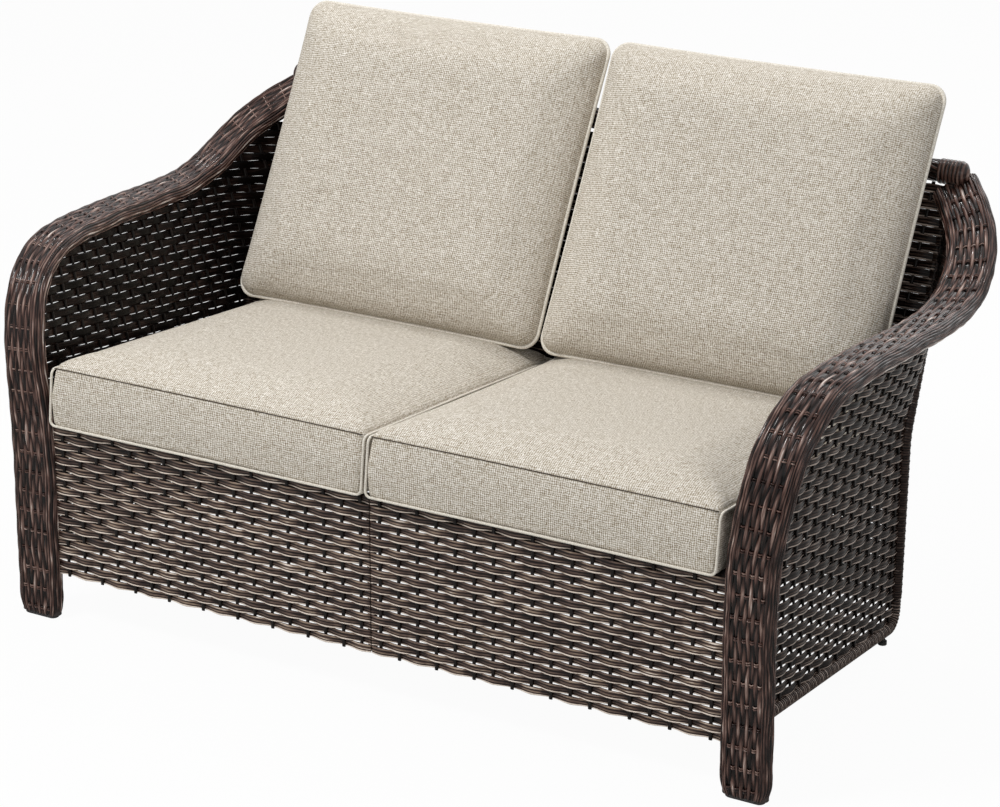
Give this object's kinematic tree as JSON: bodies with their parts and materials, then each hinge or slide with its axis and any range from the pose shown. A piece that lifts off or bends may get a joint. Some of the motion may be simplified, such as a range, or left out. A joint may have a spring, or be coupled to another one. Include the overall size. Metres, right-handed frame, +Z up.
{
  "type": "patio loveseat",
  "caption": "Outdoor loveseat with woven arms, skirt and sides on a bent tube frame, loose box seat cushions and leaning pillow back cushions.",
  "frame": {"origin": "on the floor under the middle of the whole piece: centre of the bounding box in X and Y, bottom of the feet in Z", "axes": "+X to the right as seen from the front, +Y from front to back, +Z up"},
  "size_m": [1.4134, 0.8296, 0.8382],
  "materials": {
    "woven_strand": "satin dark brown woven resin strands",
    "frame_metal": "dark brown powder coat",
    "plastic_foot": "moulded black plastic",
    "steel_fastener": "zinc-plated",
    "cushion_fabric": "oatmeal linen-look outdoor cloth",
    "piping_fabric": "light oatmeal cord piping",
    "cushion_filling": "pale foam and fibre filling"
  },
  "bodies": {
    "frame": {"apron_center_post": "frame_metal", "arm_band_left": "woven_strand", "arm_band_right": "woven_strand", "arm_tube_inner_left": "frame_metal", "arm_tube_inner_right": "frame_metal", "arm_tube_outer_left": "frame_metal", "arm_tube_outer_right": "frame_metal", "back_center_post": "frame_metal", "back_panel_left": "woven_strand", "back_panel_right": "woven_strand", "band_ties_left": "frame_metal", "band_ties_right": "frame_metal", "front_foot_left": "plastic_foot", "front_foot_right": "plastic_foot", "rail_wrap_left": "woven_strand", "rail_wrap_right": "woven_strand", "rear_apron_left": "woven_strand", "rear_apron_right": "woven_strand", "rear_bottom_rail": "frame_metal", "rear_brackets": "frame_metal", "rear_glide_left": "plastic_foot", "rear_glide_right": "plastic_foot", "seat_bolts": "steel_fastener", "seat_center_rail": "frame_metal", "seat_front_rail": "frame_metal", "seat_rear_rail": "frame_metal", "seat_side_rail_left": "frame_metal", "seat_side_rail_right": "frame_metal", "seat_slats_left": "frame_metal", "seat_slats_right": "frame_metal", "seat_washers": "steel_fastener", "side_panel_left": "woven_strand", "side_panel_right": "woven_strand", "side_tube_left": "frame_metal", "side_tube_right": "frame_metal", "skirt_center_bar": "frame_metal", "skirt_panel_left": "woven_strand", "skirt_panel_right": "woven_strand", "skirt_rod": "frame_metal", "top_rail_caps": "plastic_foot", "top_rail_tube": "frame_metal", "top_rail_wrap": "woven_strand"},
    "seat_cushion_left": {"seat_cover_left": "cushion_fabric", "seat_foam_left": "cushion_filling", "seat_piping_left": "piping_fabric"},
    "back_cushion_left": {"back_cover_left": "cushion_fabric", "back_filling_left": "cushion_filling", "back_piping_left": "piping_fabric"},
    "seat_cushion_right": {"seat_cover_right": "cushion_fabric", "seat_foam_right": "cushion_filling", "seat_piping_right": "piping_fabric"},
    "back_cushion_right": {"back_cover_right": "cushion_fabric", "back_filling_right": "cushion_filling", "back_piping_right": "piping_fabric"}
  },
  "joints": [
    {"name": "seat_cushion_left_slide", "type": "slide", "parent": "frame", "child": "seat_cushion_left", "axis": [0, -0.9914, 0.1305], "range_m": [0, 0.1]},
    {"name": "seat_cushion_right_slide", "type": "slide", "parent": "frame", "child": "seat_cushion_right", "axis": [0, -0.9914, 0.1305], "range_m": [0, 0.1]},
    {"name": "back_cushion_left_lift", "type": "slide", "parent": "frame", "child": "back_cushion_left", "axis": [0, 0.2588, 0.9659], "range_m": [0, 0.1]},
    {"name": "back_cushion_right_lift", "type": "slide", "parent": "frame", "child": "back_cushion_right", "axis": [0, 0.2588, 0.9659], "range_m": [0, 0.1]}
  ]
}
